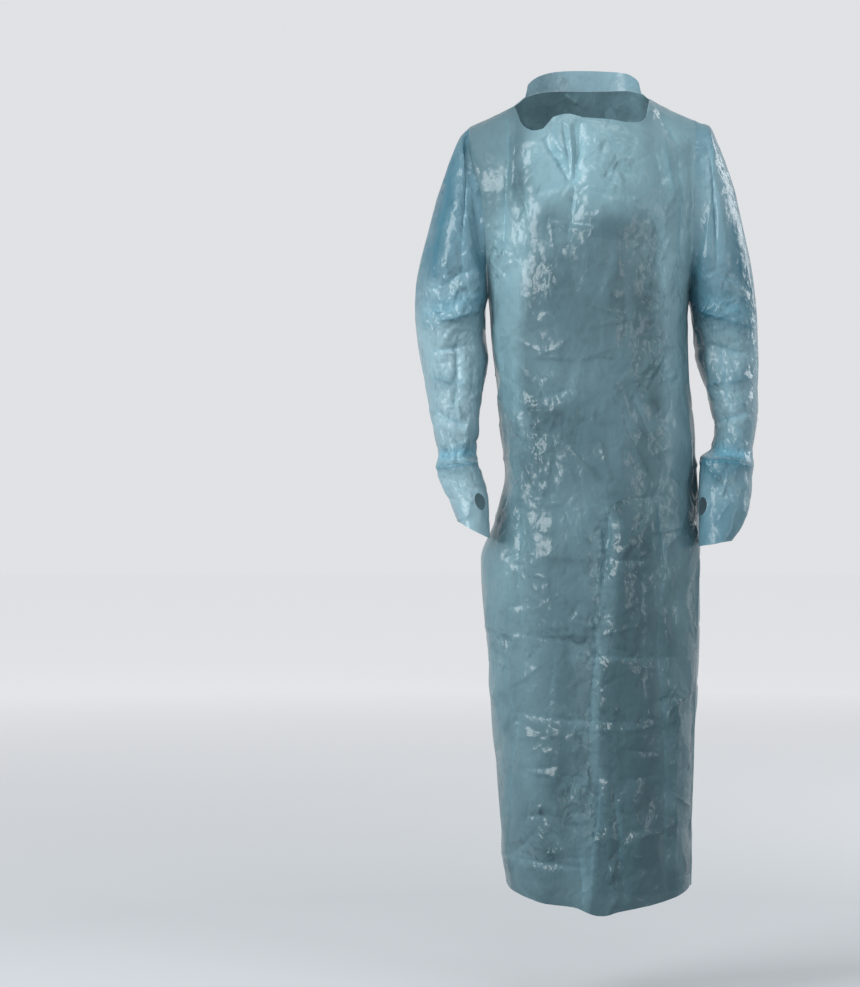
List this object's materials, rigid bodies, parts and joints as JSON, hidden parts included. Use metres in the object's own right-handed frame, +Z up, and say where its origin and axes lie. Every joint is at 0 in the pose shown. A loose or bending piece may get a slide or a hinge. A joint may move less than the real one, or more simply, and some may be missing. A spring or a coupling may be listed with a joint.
{
  "type": "isolation gown",
  "caption": "Over-the-head isolation gown of thin film, worn and hollow, with an open back tied in a knot at the waist, long sleeves and thumb-hole cuffs.",
  "frame": {"origin": "middle of the neck opening at the height of the shoulder line, where the wearer's shoulders hold the gown", "axes": "+X to the wearer's left, the front faces -Y, +Z up"},
  "size_m": [0.5222, 0.2751, 1.2585],
  "materials": {
    "film": "thin crumpled see-through blue polyethylene film",
    "doubled_film": "the same film folded over itself, a deeper blue"
  },
  "bodies": {
    "root": {"front_panel": "film", "back_half_left": "film", "back_half_right": "film", "back_yoke": "film", "neck_band": "film", "sleeve_left": "film", "sleeve_right": "film", "tie_knot": "doubled_film", "tie_tail_upper": "doubled_film", "tie_tail_lower": "doubled_film", "tie_tail_left": "doubled_film", "tie_tail_right": "doubled_film"}
  },
  "joints": []
}
